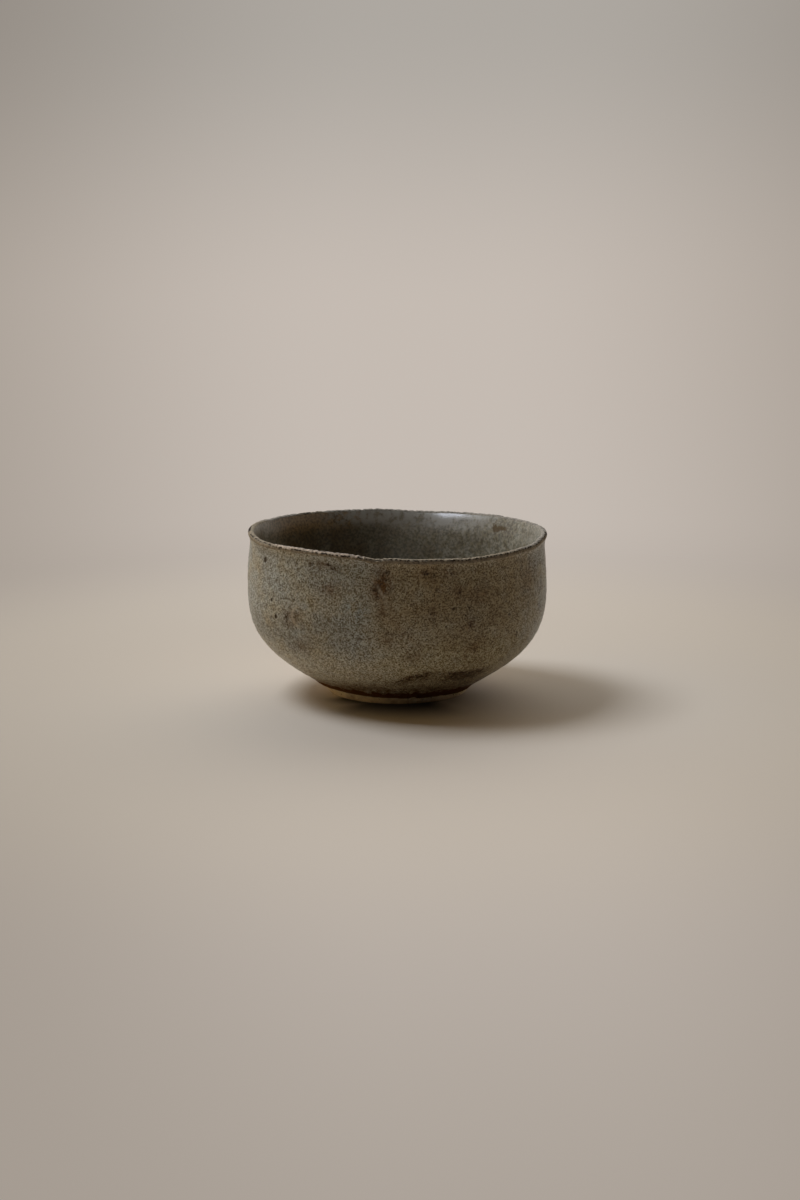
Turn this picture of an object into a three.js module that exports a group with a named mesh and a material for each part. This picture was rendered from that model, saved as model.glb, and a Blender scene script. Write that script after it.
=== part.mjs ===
// A small hand-thrown tea cup of glazed stoneware. Millimetres, +Z up.
// The origin is the middle of the footprint, on the surface that the cup stands on, and the front faces -Y.
import * as THREE from "three";
import { mergeGeometries, mergeVertices } from "three/addons/utils/BufferGeometryUtils.js";

// Outside of the thrown wall: the underside springs from the foot's neck, rounds into the belly and rises
// to the lip.
const NECK_RADIUS = 22.3;
const NECK_HEIGHT = 2.6;
const SPRING_ANGLE = 32; // degrees above level at which the underside leaves the neck
const UNDERSIDE_FLATNESS = 0.63; // share of the way out that the underside stays straight
const BELLY_RADIUS = 44.85;
const BELLY_HEIGHT = 30.4;
const BELLY_FULLNESS = 0.55; // share of the rise from neck to belly that hangs plumb below the belly
const WALL_PLUMB = 0.5; // share of the rise from belly to lip that stays plumb above the belly
const LIP_OVERHANG = 0.1; // how far the lip reaches out past the belly
const LIP_HEIGHT = 47.5;
const LIP_LEAN = 27; // degrees from plumb by which the lip turns outwards
const LIP_FLARE = 0.18; // share of the rise from belly to lip in which it turns

// Thickness of the clay
const LIP_THICKNESS = 1.5;
const WALL_THICKNESS = 3.0;
const FLOOR_THICKNESS = 4.0;
const WELL_FLATNESS = 0.65; // share of the way out that the floor of the well stays level

// Foot ring, turned from the same clay and left bare
const FOOT_RADIUS = 20.7;
const FOOT_WIDTH = 4.8; // of the flat face that the cup stands on
const FOOT_BEVEL = 0.5; // worn edge on both sides of that face
const RECESS_RADIUS = 15.0; // of the hollow inside the ring, where it meets the wall
const RECESS_CROWN = 0.6; // rise of the hollow's ceiling towards the middle

// Coats that are fused to the clay
const GLAZE_THICKNESS = 0.45;
const LIP_COAT_THICKNESS = 0.2; // iron wash where the glaze runs thin
const GLAZE_FADE = 5.0; // length over which the glaze thins towards the lip
const BARE_BAND = 0.5; // clay left bare between the neck and the end of the glaze

// Marks of the hand. Each wave is a share of its height, with so many lobes round the cup, and peaks so many
// degrees from +X, seen from above.
const RIM_WAVE_HEIGHT = 0.75; // up and down, of the lip
const RIM_WAVES = [
  { lobes: 1, share: 1, peak: 163 },
  { lobes: 2, share: 0.6, peak: 18 },
  { lobes: 3, share: 0.33, peak: 0 },
  { lobes: 4, share: 0.13, peak: -13 },
];
const WALL_WAVE_HEIGHT = 0.3; // in and out, of the wall
const WALL_WAVES = [
  { lobes: 2, share: 1, peak: 45 },
  { lobes: 3, share: 0.67, peak: 30 },
];
const NECK_WAVE_HEIGHT = 0.25; // along the underside, of the neck and the end of the glaze
const NECK_WAVES = [
  { lobes: 3, share: 1, peak: 70 },
  { lobes: 5, share: 0.8, peak: 15 },
  { lobes: 8, share: 0.48, peak: 40 },
];
const NECK_OFFSET = 1.8; // the neck was turned this far off centre, towards -X
const NECK_FADE = 7.5; // height above the neck over which its waves and offset die away
const FOOT_OFFSET = 0.25; // the foot stands this far off centre, towards +X

// Facets
const SEGMENTS = 64;
const UNDERSIDE_ROWS = 8;
const WALL_ROWS = 5;
const LIP_ROWS = 4;
const RECESS_ROWS = 3;
const WELD = 1e-4; // vertices closer than this are one

const { degToRad, lerp, smoothstep } = THREE.MathUtils;
const point = (radius, height) => new THREE.Vector2(radius, height);
const heading = (angle) => point(Math.cos(angle), Math.sin(angle));

// Sum of a list of waves of a given height, at an angle round the cup.
function waves(height, list, angle) {
  const shares = list.map(({ lobes, share, peak }) => share * Math.cos(lobes * (angle - degToRad(peak))));
  return height * shares.reduce((sum, share) => sum + share, 0);
}

// Stations along a profile curve, from a given share of it: places, and normals to the right of its way.
function stations(curve, rows, start = 0) {
  return Array.from({ length: rows + 1 }, (_, row) => {
    const share = lerp(start, 1, row / rows);
    const tangent = curve.getTangent(share);
    return { at: curve.getPoint(share), normal: point(tangent.y, -tangent.x) };
  });
}

// Profile of the clay: up the outside, over the lip and down to the middle of the well.
const springing = heading(degToRad(SPRING_ANGLE));
const leaning = heading(degToRad(90 - LIP_LEAN));
const lipNormal = point(leaning.y, -leaning.x);
const wallRise = LIP_HEIGHT - BELLY_HEIGHT;
const neck = point(NECK_RADIUS, NECK_HEIGHT);
const belly = point(BELLY_RADIUS, BELLY_HEIGHT);
const lipOut = point(BELLY_RADIUS + LIP_OVERHANG, LIP_HEIGHT);
const lipIn = lipOut.clone().addScaledVector(lipNormal, -LIP_THICKNESS);
const lipMiddle = lipOut.clone().lerp(lipIn, 0.5);
const wellBelly = point(BELLY_RADIUS - WALL_THICKNESS, BELLY_HEIGHT);
const wellFloor = point(0, NECK_HEIGHT + RECESS_CROWN + FLOOR_THICKNESS);

const underside = new THREE.CubicBezierCurve(
  neck,
  neck.clone().addScaledVector(springing, UNDERSIDE_FLATNESS * (BELLY_RADIUS - NECK_RADIUS)),
  point(BELLY_RADIUS, lerp(BELLY_HEIGHT, NECK_HEIGHT, BELLY_FULLNESS)),
  belly,
);
const glazeStart = underside.getUtoTmapping(0, BARE_BAND);
const wall = new THREE.CubicBezierCurve(
  belly,
  point(BELLY_RADIUS, BELLY_HEIGHT + WALL_PLUMB * wallRise),
  lipOut.clone().addScaledVector(leaning, -LIP_FLARE * wallRise),
  lipOut,
);
const lip = new THREE.EllipseCurve(
  lipMiddle.x,
  lipMiddle.y,
  LIP_THICKNESS / 2,
  LIP_THICKNESS / 2,
  -degToRad(LIP_LEAN),
  Math.PI - degToRad(LIP_LEAN),
);
const innerWall = new THREE.CubicBezierCurve(
  lipIn,
  lipIn.clone().addScaledVector(leaning, -LIP_FLARE * wallRise),
  point(wellBelly.x, BELLY_HEIGHT + WALL_PLUMB * wallRise),
  wellBelly,
);
const well = new THREE.CubicBezierCurve(
  wellBelly,
  point(wellBelly.x, lerp(BELLY_HEIGHT, wellFloor.y, BELLY_FULLNESS)),
  point(WELL_FLATNESS * wellBelly.x, wellFloor.y),
  wellFloor,
);

// The glazed side of the clay in three stretches that share their end stations: outside, lip and inside.
const outside = [...stations(underside, UNDERSIDE_ROWS, glazeStart), ...stations(wall, WALL_ROWS).slice(1)];
const lipStretch = [outside.at(-1), ...stations(lip, LIP_ROWS).slice(1)];
const inside = [
  lipStretch.at(-1),
  ...stations(innerWall, WALL_ROWS).slice(1),
  ...stations(well, UNDERSIDE_ROWS).slice(1),
];

// Thickness of the coat at a station: full on the walls, thinning to the iron wash at the lip.
function coatThickness({ at }) {
  const belowLip = lipOut.distanceTo(at) - LIP_THICKNESS;
  return lerp(LIP_COAT_THICKNESS, GLAZE_THICKNESS, smoothstep(belowLip, 0, GLAZE_FADE));
}

const clayFace = (stretch) => stretch.map(({ at }) => at);
const coatFace = (stretch) =>
  stretch.map((station) => station.at.clone().addScaledVector(station.normal, coatThickness(station)));

// Moves a vertex as the potter's hand did. All pieces go through it, so pieces that meet keep meeting.
function shapedByHand(vertex) {
  const angle = Math.atan2(vertex.y, vertex.x);
  const radius = Math.hypot(vertex.x, vertex.y);
  const upWall = smoothstep(vertex.z, wellFloor.y, LIP_HEIGHT);
  const aboveNeck = (vertex.z - NECK_HEIGHT) / (vertex.z > NECK_HEIGHT ? NECK_FADE : NECK_HEIGHT);
  const outToNeck = smoothstep(radius, RECESS_RADIUS, NECK_RADIUS);
  const nearNeck = outToNeck * (1 - smoothstep(Math.abs(aboveNeck), 0, 1));
  const neckShift = waves(NECK_WAVE_HEIGHT, NECK_WAVES, angle) - NECK_OFFSET * Math.cos(angle);
  const alongUnderside = nearNeck * neckShift;
  const swelling = upWall * waves(WALL_WAVE_HEIGHT, WALL_WAVES, angle);
  const swollen = radius + swelling + springing.x * alongUnderside;
  const drift = FOOT_OFFSET * (1 - smoothstep(vertex.z, 0, BELLY_HEIGHT));
  return vertex.set(
    drift + swollen * Math.cos(angle),
    swollen * Math.sin(angle),
    vertex.z + upWall * waves(RIM_WAVE_HEIGHT, RIM_WAVES, angle) + springing.y * alongUnderside,
  );
}

// An open skin: a profile turned about the upright axis, facing to the right of the way it runs.
function skin(profile) {
  const turned = new THREE.LatheGeometry(profile, SEGMENTS).rotateX(Math.PI / 2);
  turned.deleteAttribute("normal");
  turned.deleteAttribute("uv");
  return turned;
}

// The same skin facing the other way, for the piece on its other side: pieces that meet share facets.
function turnedOver(open) {
  const over = open.clone();
  over.index.array.reverse();
  return over;
}

const cup = new THREE.Group();

// Closes skins into one named solid, shapes it by hand and adds it to the cup.
function addPiece(name, skins, finish) {
  const solid = mergeVertices(mergeGeometries(skins), WELD);
  const places = solid.getAttribute("position");
  const vertex = new THREE.Vector3();
  for (let i = 0; i < places.count; i++) {
    const moved = shapedByHand(vertex.fromBufferAttribute(places, i));
    places.setXYZ(i, moved.x, moved.y, moved.z);
  }
  solid.computeVertexNormals();
  const mesh = new THREE.Mesh(solid, new THREE.MeshStandardMaterial(finish));
  mesh.name = name;
  cup.add(mesh);
}

// Skins between the pieces, and those that show
const recess = new THREE.QuadraticBezierCurve(
  point(0, NECK_HEIGHT + RECESS_CROWN),
  point(RECESS_RADIUS / 2, NECK_HEIGHT + RECESS_CROWN),
  point(RECESS_RADIUS, NECK_HEIGHT),
);
const recessEdge = point(RECESS_RADIUS, NECK_HEIGHT);
const footInner = FOOT_RADIUS - FOOT_WIDTH;
const recessSkin = skin(recess.getPoints(RECESS_ROWS));
const seatSkin = skin([recessEdge, point((RECESS_RADIUS + NECK_RADIUS) / 2, NECK_HEIGHT), neck]);
const bareSkin = skin([neck, outside[0].at]);
const footSkin = skin([
  recessEdge,
  point(footInner - FOOT_BEVEL, FOOT_BEVEL),
  point(footInner, 0),
  point(FOOT_RADIUS, 0),
  point(FOOT_RADIUS + FOOT_BEVEL, FOOT_BEVEL),
  neck,
]);
const outsideSkin = skin(clayFace(outside));
const lipSkin = skin(clayFace(lipStretch));
const insideSkin = skin(clayFace(inside));
const glazeEndSkin = skin([outside[0].at, coatFace(outside)[0]]);
const outerJoint = skin([coatFace(outside).at(-1), outside.at(-1).at]);
const innerJoint = skin([coatFace(lipStretch).at(-1), lipStretch.at(-1).at]);

// The thrown bowl of bare stoneware, which carries everything else
addPiece("clay_wall", [recessSkin, seatSkin, bareSkin, outsideSkin, lipSkin, insideSkin], {
  color: 0x7d705c,
  roughness: 0.95,
  metalness: 0,
});

// The ring that the cup stands on, luted to the underside of the bowl
addPiece("foot_ring", [footSkin, turnedOver(seatSkin)], {
  color: 0x94866b,
  roughness: 0.95,
  metalness: 0,
});

// The speckled ash glaze on the outside, from the bare band to the lip
addPiece("outer_glaze", [glazeEndSkin, skin(coatFace(outside)), outerJoint, turnedOver(outsideSkin)], {
  color: 0x6e675a,
  roughness: 0.5,
  metalness: 0,
});

// The iron-brown wash over the edge of the lip
addPiece("lip_wash", [turnedOver(outerJoint), skin(coatFace(lipStretch)), innerJoint, turnedOver(lipSkin)], {
  color: 0x4b3a2a,
  roughness: 0.6,
  metalness: 0,
});

// The smoother glaze that lines the well
addPiece("inner_glaze", [turnedOver(innerJoint), skin(coatFace(inside)), turnedOver(insideSkin)], {
  color: 0x6b6b62,
  roughness: 0.3,
  metalness: 0,
});

export default cup;
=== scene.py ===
"""Looks of a small hand-thrown stoneware tea cup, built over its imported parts.

Every piece is a surface swept round the wheel's axis: a profile of radius and height is repeated at
many angles, and then every point is moved by the same few marks of the hand. Sizes are in millimetres
until a mesh is written in metres. Angles go round +Z, with -90 degrees at the front.
"""
import logging
import math
from dataclasses import dataclass
from enum import Enum
from typing import ClassVar, Optional, Sequence, Union

import bpy
import numpy as np
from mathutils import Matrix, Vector


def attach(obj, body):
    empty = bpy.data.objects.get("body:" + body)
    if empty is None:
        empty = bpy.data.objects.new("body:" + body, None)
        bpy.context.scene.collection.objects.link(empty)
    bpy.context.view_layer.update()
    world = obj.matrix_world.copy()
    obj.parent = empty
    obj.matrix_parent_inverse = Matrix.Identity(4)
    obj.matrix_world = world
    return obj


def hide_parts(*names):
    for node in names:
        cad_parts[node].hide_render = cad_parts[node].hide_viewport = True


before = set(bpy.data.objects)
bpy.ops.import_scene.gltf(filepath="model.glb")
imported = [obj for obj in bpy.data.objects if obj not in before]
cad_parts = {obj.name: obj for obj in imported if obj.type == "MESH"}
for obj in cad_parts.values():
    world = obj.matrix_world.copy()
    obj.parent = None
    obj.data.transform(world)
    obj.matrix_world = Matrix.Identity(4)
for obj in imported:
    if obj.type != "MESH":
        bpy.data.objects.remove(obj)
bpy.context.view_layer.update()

LOG = logging.getLogger("cup")
MM = 0.001
MM_PER_METRE = 1000.0
ANGLE_STEPS = 512
FINE_ANGLE_STEPS = 1024
STAGE_ANGLE_STEPS = 128
CURVE_STEPS = 400
CREST_STEPS = 120
SHARP_ANGLE = math.radians(50)

Array = np.ndarray
Colour = tuple[float, float, float]
Direction = tuple[float, float, float]
Socket = bpy.types.NodeSocket
Feed = Union[float, Sequence[float], Socket]
Feeds = dict[Union[str, int], Feed]
Marks = dict[str, Array]


def smooth_step(value: Array, start: float, end: float) -> Array:
    """Rises from 0 at start to 1 at end along the curve 3t^2 - 2t^3."""
    t = np.clip((value - start) / (end - start), 0.0, 1.0)
    return t * t * (3.0 - 2.0 * t)


def within(value: Array, low: float, full: float, fading: float, gone: float) -> Array:
    """Rises smoothly from 0 at low to 1 at full, and falls from 1 at fading to 0 at gone."""
    return smooth_step(value, low, full) * (1.0 - smooth_step(value, fading, gone))


def bell(off: Array, width: Union[float, Array], power: float = 2.0) -> Array:
    """Bell over a distance: exp(-(off / width)^power)."""
    return np.exp(-((off / width) ** power))


def heading(degrees: float) -> Array:
    """Unit vector (outward, upward) in the profile's plane, at an angle above the outward direction."""
    angle = math.radians(degrees)
    return np.array([math.cos(angle), math.sin(angle)])


def apart(angle: Array, degrees: float) -> Array:
    """Turns from an angle in degrees to angles in radians, between -pi and pi."""
    return np.angle(np.exp(1j * (angle - math.radians(degrees))))


def bearing(angle: Array) -> Array:
    """Angles in radians as degrees between -180 and 180."""
    return np.degrees(np.angle(np.exp(1j * angle)))


def turn(steps: int) -> Array:
    """Even angles round the cup from the back, in radians, as one row."""
    return (np.pi / 2 + np.arange(steps) * 2.0 * np.pi / steps)[None, :]


@dataclass(frozen=True)
class Wave:
    """One cosine wave round the cup.

    It has a number of lobes in a turn, a share of its group's height, and a crest at an angle in degrees.
    """

    lobes: int
    share: float
    peak: float


def waved(height: float, waves: Sequence[Wave], angle: Array) -> Array:
    """Sum of height * share * cos(lobes * (angle - peak)) over a group of waves.

    Args:
        height: Height of the group in millimetres.
        waves: The waves of the group.
        angle: Angles in radians.

    Returns:
        The offset at each angle in millimetres.
    """
    total = np.zeros_like(angle)
    for wave in waves:
        total += height * wave.share * np.cos(wave.lobes * (angle - math.radians(wave.peak)))
    return total


@dataclass(frozen=True)
class Rise:
    """One short rise or dip of the rim, a bell over the angle.

    Its angle and half width are in degrees and its height in millimetres, negative for a dip.
    """

    angle: float
    width: float
    height: float

    def at(self, angle: Array) -> Array:
        """The rise in millimetres at angles in radians: height * exp(-(turn / width)^2)."""
        return self.height * bell(np.degrees(apart(angle, self.angle)), self.width)


@dataclass(frozen=True)
class Grain:
    """Seeded smooth unevenness over angle and length: a sum of cosines with whole lobes, so it closes.

    Lobes round the cup, and lengths along the profile in millimetres, lie between two limits.
    """

    seed: int
    terms: int
    lobes: tuple[int, int]
    length: tuple[float, float]

    def at(self, angle: Array, along: Union[float, Array] = 0.0) -> Array:
        """Height of the unevenness, of unit mean square.

        Args:
            angle: Angles in radians.
            along: Place along the profile in millimetres, of a shape that fits with angle.

        Returns:
            The height at each point.
        """
        draw = np.random.default_rng(self.seed)
        lobes = draw.integers(self.lobes[0], self.lobes[1] + 1, self.terms)
        pitch = 2.0 * np.pi / draw.uniform(self.length[0], self.length[1], self.terms)
        pitch *= draw.choice([-1.0, 1.0], self.terms)
        phase = draw.uniform(0.0, 2.0 * np.pi, self.terms)
        total = np.zeros(np.broadcast(angle, along).shape)
        for k in range(self.terms):
            total += np.cos(lobes[k] * angle + pitch[k] * along + phase[k])
        return total * math.sqrt(2.0 / self.terms)


@dataclass(frozen=True)
class Profile:
    """A curve of points (radius, height), with unit outward directions on the right of its run."""

    at: Array
    out: Array

    @property
    def run(self) -> Array:
        """Length along the curve at each point in millimetres."""
        return np.concatenate([[0.0], np.cumsum(np.hypot(*np.diff(self.at, axis=0).T))])

    @property
    def length(self) -> float:
        """Whole length of the curve in millimetres."""
        return float(self.run[-1])

    def followed_by(self, other: "Profile") -> "Profile":
        """This curve and then another that starts where it ends."""
        return Profile(np.concatenate([self.at, other.at[1:]]), np.concatenate([self.out, other.out[1:]]))

    def place(self, run: Array) -> tuple[Array, Array, Array, Array]:
        """Radius, height and outward direction at given lengths along the curve.

        Args:
            run: Lengths in millimetres, of any shape.

        Returns:
            Radius, height, outward part along the radius, outward part along the height.
        """
        own = self.run
        table = np.concatenate([self.at, self.out], axis=1)
        r, z, nr, nz = (np.interp(run, own, column) for column in table.T)
        size = np.hypot(nr, nz)
        return r, z, nr / size, nz / size


def bezier(*points: Sequence[float]) -> Profile:
    """Cubic Bezier curve at even parameters, with its right-hand side outward.

    Args:
        points: Four points as (radius, height). The curve goes through the first and the last.

    Returns:
        The curve.
    """
    t = np.linspace(0.0, 1.0, CURVE_STEPS)[:, None]
    a, b, c, d = (np.asarray(p, dtype=float) for p in points)
    at = (1 - t) ** 3 * a + 3 * (1 - t) ** 2 * t * b + 3 * (1 - t) * t * t * c + t ** 3 * d
    way = (1 - t) ** 2 * (b - a) + 2 * (1 - t) * t * (c - b) + t * t * (d - c)
    way /= np.linalg.norm(way, axis=1, keepdims=True)
    return Profile(at, np.stack([way[:, 1], -way[:, 0]], axis=1))


def straight(start: Sequence[float], end: Sequence[float]) -> Profile:
    """Straight line between two points, with its right-hand side outward.

    Args:
        start: First point as (radius, height).
        end: Last point.

    Returns:
        The curve.
    """
    at = np.array([start, end], dtype=float)
    way = (at[1] - at[0]) / np.hypot(*(at[1] - at[0]))
    return Profile(at, np.array([[way[1], -way[0]]] * 2))


def joined(parts: Sequence[Profile], rows: Sequence[int]) -> tuple[Profile, Array, Array]:
    """Curves end to end, with even rows along each.

    Args:
        parts: The curves, each starting where the one before it ends.
        rows: Number of rows on each curve, from its start and short of its end.

    Returns:
        The whole curve, the lengths at which its parts end, from 0, and the rows' lengths as a column.
    """
    whole = parts[0]
    for part in parts[1:]:
        whole = whole.followed_by(part)
    ends = np.cumsum([0.0] + [part.length for part in parts])
    runs = [np.linspace(ends[k], ends[k + 1], count, endpoint=False) for k, count in enumerate(rows)]
    return whole, ends, np.concatenate(runs)[:, None]


@dataclass(frozen=True)
class WheelForm:
    """The cup's form off the wheel: its profile curves and the marks of the hand.

    Attributes are lengths in millimetres and angles in degrees. The outside is two Bezier curves, from
    the neck above the foot to the belly and from the belly to the lip. The lip is half a circle. The
    inside is two Bezier curves, from the lip to the belly and down to the floor of the well.
    """

    neck_radius: float = 22.3
    neck_height: float = 2.6
    spring_angle: float = 32.0
    underside_flatness: float = 0.63
    belly_radius: float = 44.85
    belly_height: float = 30.4
    belly_fullness: float = 0.55
    wall_plumb: float = 0.5
    lip_overhang: float = 0.1
    lip_height: float = 47.5
    lip_lean: float = 27.0
    lip_flare: float = 0.18
    lip_thickness: float = 1.5
    wall_thickness: float = 3.0
    floor_thickness: float = 4.0
    well_flatness: float = 0.65
    foot_radius: float = 20.7
    foot_width: float = 4.8
    foot_bevel: float = 0.5
    recess_radius: float = 15.0
    recess_crown: float = 0.6
    glaze_thickness: float = 0.45
    lip_coat: float = 0.2
    lip_sink: float = 0.22
    glaze_fade: float = 5.0
    bare_band: float = 0.5
    neck_offset: float = 1.8
    neck_fade: float = 7.5
    foot_offset: float = 0.25
    rim_wave: float = 0.75
    wall_wave: float = 0.3
    neck_wave: float = 0.25
    dent_depth: float = 0.11
    dent_start: float = 9.0
    dent_full: float = 24.0
    rise_start: float = 38.0
    rim_waves: tuple[Wave, ...] = (
        Wave(1, 1.0, 163.0), Wave(2, 0.6, 18.0), Wave(3, 0.33, 0.0), Wave(4, 0.13, -13.0),
    )
    wall_waves: tuple[Wave, ...] = (Wave(2, 1.0, 45.0), Wave(3, 0.67, 30.0))
    neck_waves: tuple[Wave, ...] = (Wave(3, 1.0, 70.0), Wave(5, 0.8, 15.0), Wave(8, 0.48, 40.0))
    rim_rises: tuple[Rise, ...] = (
        Rise(-150.0, 12.0, -0.45), Rise(-121.0, 15.0, 0.16), Rise(-98.0, 4.0, -0.65), Rise(-86.0, 9.0, -0.25),
        Rise(-62.0, 8.0, -0.20), Rise(-24.0, 6.0, -0.40), Rise(98.5, 4.5, 0.16), Rise(80.0, 12.0, -0.42),
        Rise(46.0, 6.0, 0.22), Rise(153.0, 3.5, -0.25),
    )
    dents: Grain = Grain(11, 22, (2, 9), (14.0, 60.0))

    @property
    def lip_way(self) -> Array:
        """Direction in which the wall runs up into the lip."""
        return heading(90.0 - self.lip_lean)

    @property
    def lip_out(self) -> Array:
        """Outer joint of the lip."""
        return np.array([self.belly_radius + self.lip_overhang, self.lip_height])

    @property
    def lip_in(self) -> Array:
        """Inner joint of the lip."""
        return self.lip_out - self.lip_thickness * np.array([self.lip_way[1], -self.lip_way[0]])

    @property
    def floor_height(self) -> float:
        """Height of the well's floor."""
        return self.neck_height + self.recess_crown + self.floor_thickness

    def outside(self) -> Profile:
        """Outside of the clay from the neck up to the lip.

        Returns:
            The curve.
        """
        neck = np.array([self.neck_radius, self.neck_height])
        belly = np.array([self.belly_radius, self.belly_height])
        rise = self.lip_height - self.belly_height
        reach = self.underside_flatness * (self.belly_radius - self.neck_radius)
        full = belly - np.array([0.0, self.belly_fullness * (self.belly_height - self.neck_height)])
        under = bezier(neck, neck + heading(self.spring_angle) * reach, full, belly)
        plumb = belly + np.array([0.0, self.wall_plumb * rise])
        wall = bezier(belly, plumb, self.lip_out - self.lip_way * self.lip_flare * rise, self.lip_out)
        return under.followed_by(wall)

    def crest(self) -> Profile:
        """Half circle over the lip, from its outer to its inner joint.

        Returns:
            The curve.
        """
        angle = np.linspace(0.0, np.pi, CREST_STEPS) - math.radians(self.lip_lean)
        out = np.stack([np.cos(angle), np.sin(angle)], axis=1)
        return Profile((self.lip_out + self.lip_in) / 2.0 + out * self.lip_thickness / 2.0, out)

    def inside(self) -> Profile:
        """Inside of the clay from the lip down to the middle of the well's floor.

        Returns:
            The curve.
        """
        rise = self.lip_height - self.belly_height
        waist = np.array([self.belly_radius - self.wall_thickness, self.belly_height])
        plumb = waist + np.array([0.0, self.wall_plumb * rise])
        wall = bezier(self.lip_in, self.lip_in - self.lip_way * self.lip_flare * rise, plumb, waist)
        full = waist - np.array([0.0, self.belly_fullness * (self.belly_height - self.floor_height)])
        flat = (self.well_flatness * waist[0], self.floor_height)
        return wall.followed_by(bezier(waist, full, flat, (0.0, self.floor_height)))

    def coat_at(self, r: Array, z: Array) -> Array:
        """Thickness of the glaze, thin at the lip and full further away.

        Args:
            r: Radius on the clay.
            z: Height on the clay.

        Returns:
            The thickness at each point.
        """
        away = np.hypot(r - self.lip_out[0], z - self.lip_out[1]) - self.lip_thickness
        full = smooth_step(away, 0.0, self.glaze_fade)
        return self.lip_coat + (self.glaze_thickness - self.lip_coat) * full

    def shaped(self, r: Array, angle: Array, z: Array) -> Array:
        """Moves points of the true round form to where the hand left them.

        The wall swells and the rim rises in a few waves that grow from the floor to the lip, shallow
        dents push both faces of the wall together, the end of the glaze wanders along the slope above
        the foot, and the turned foot stands a little off the wheel's axis.

        Args:
            r: Radius.
            angle: Angles in radians, as one row.
            z: Height.

        Returns:
            Points as an array with a last axis of x, y, z.
        """
        up = smooth_step(z, self.floor_height, self.lip_height)
        reach = np.where(z > self.neck_height, self.neck_fade, self.neck_height)
        near = 1.0 - smooth_step(np.abs(z - self.neck_height) / reach, 0.0, 1.0)
        near = near * smooth_step(r, self.recess_radius, self.neck_radius)
        along = near * (waved(self.neck_wave, self.neck_waves, angle) - self.neck_offset * np.cos(angle))
        dents = smooth_step(z, self.dent_start, self.dent_full) * self.dent_depth * self.dents.at(angle, z)
        swell = up * waved(self.wall_wave, self.wall_waves, angle) + dents
        spring = heading(self.spring_angle)
        out = r + swell + spring[0] * along
        drift = self.foot_offset * (1.0 - smooth_step(z, 0.0, self.belly_height))
        lift = smooth_step(z, self.rise_start, self.lip_height)
        rises = lift * sum(one.at(angle) for one in self.rim_rises)
        high = z + (up * waved(self.rim_wave, self.rim_waves, angle) + rises) + spring[1] * along
        return np.stack([drift + out * np.cos(angle), out * np.sin(angle), high], axis=-1)

    def swept(
        self, curve: Profile, run: Array, angle: Array, push: Union[float, Array] = 0.0
    ) -> Array:
        """Points at lengths along a curve and at angles, pushed outward, never past the axis, and shaped."""
        r, z, nr, nz = curve.place(run)
        return self.shaped(np.maximum(r + nr * push, 0.0), angle, z + nz * push)


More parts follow.
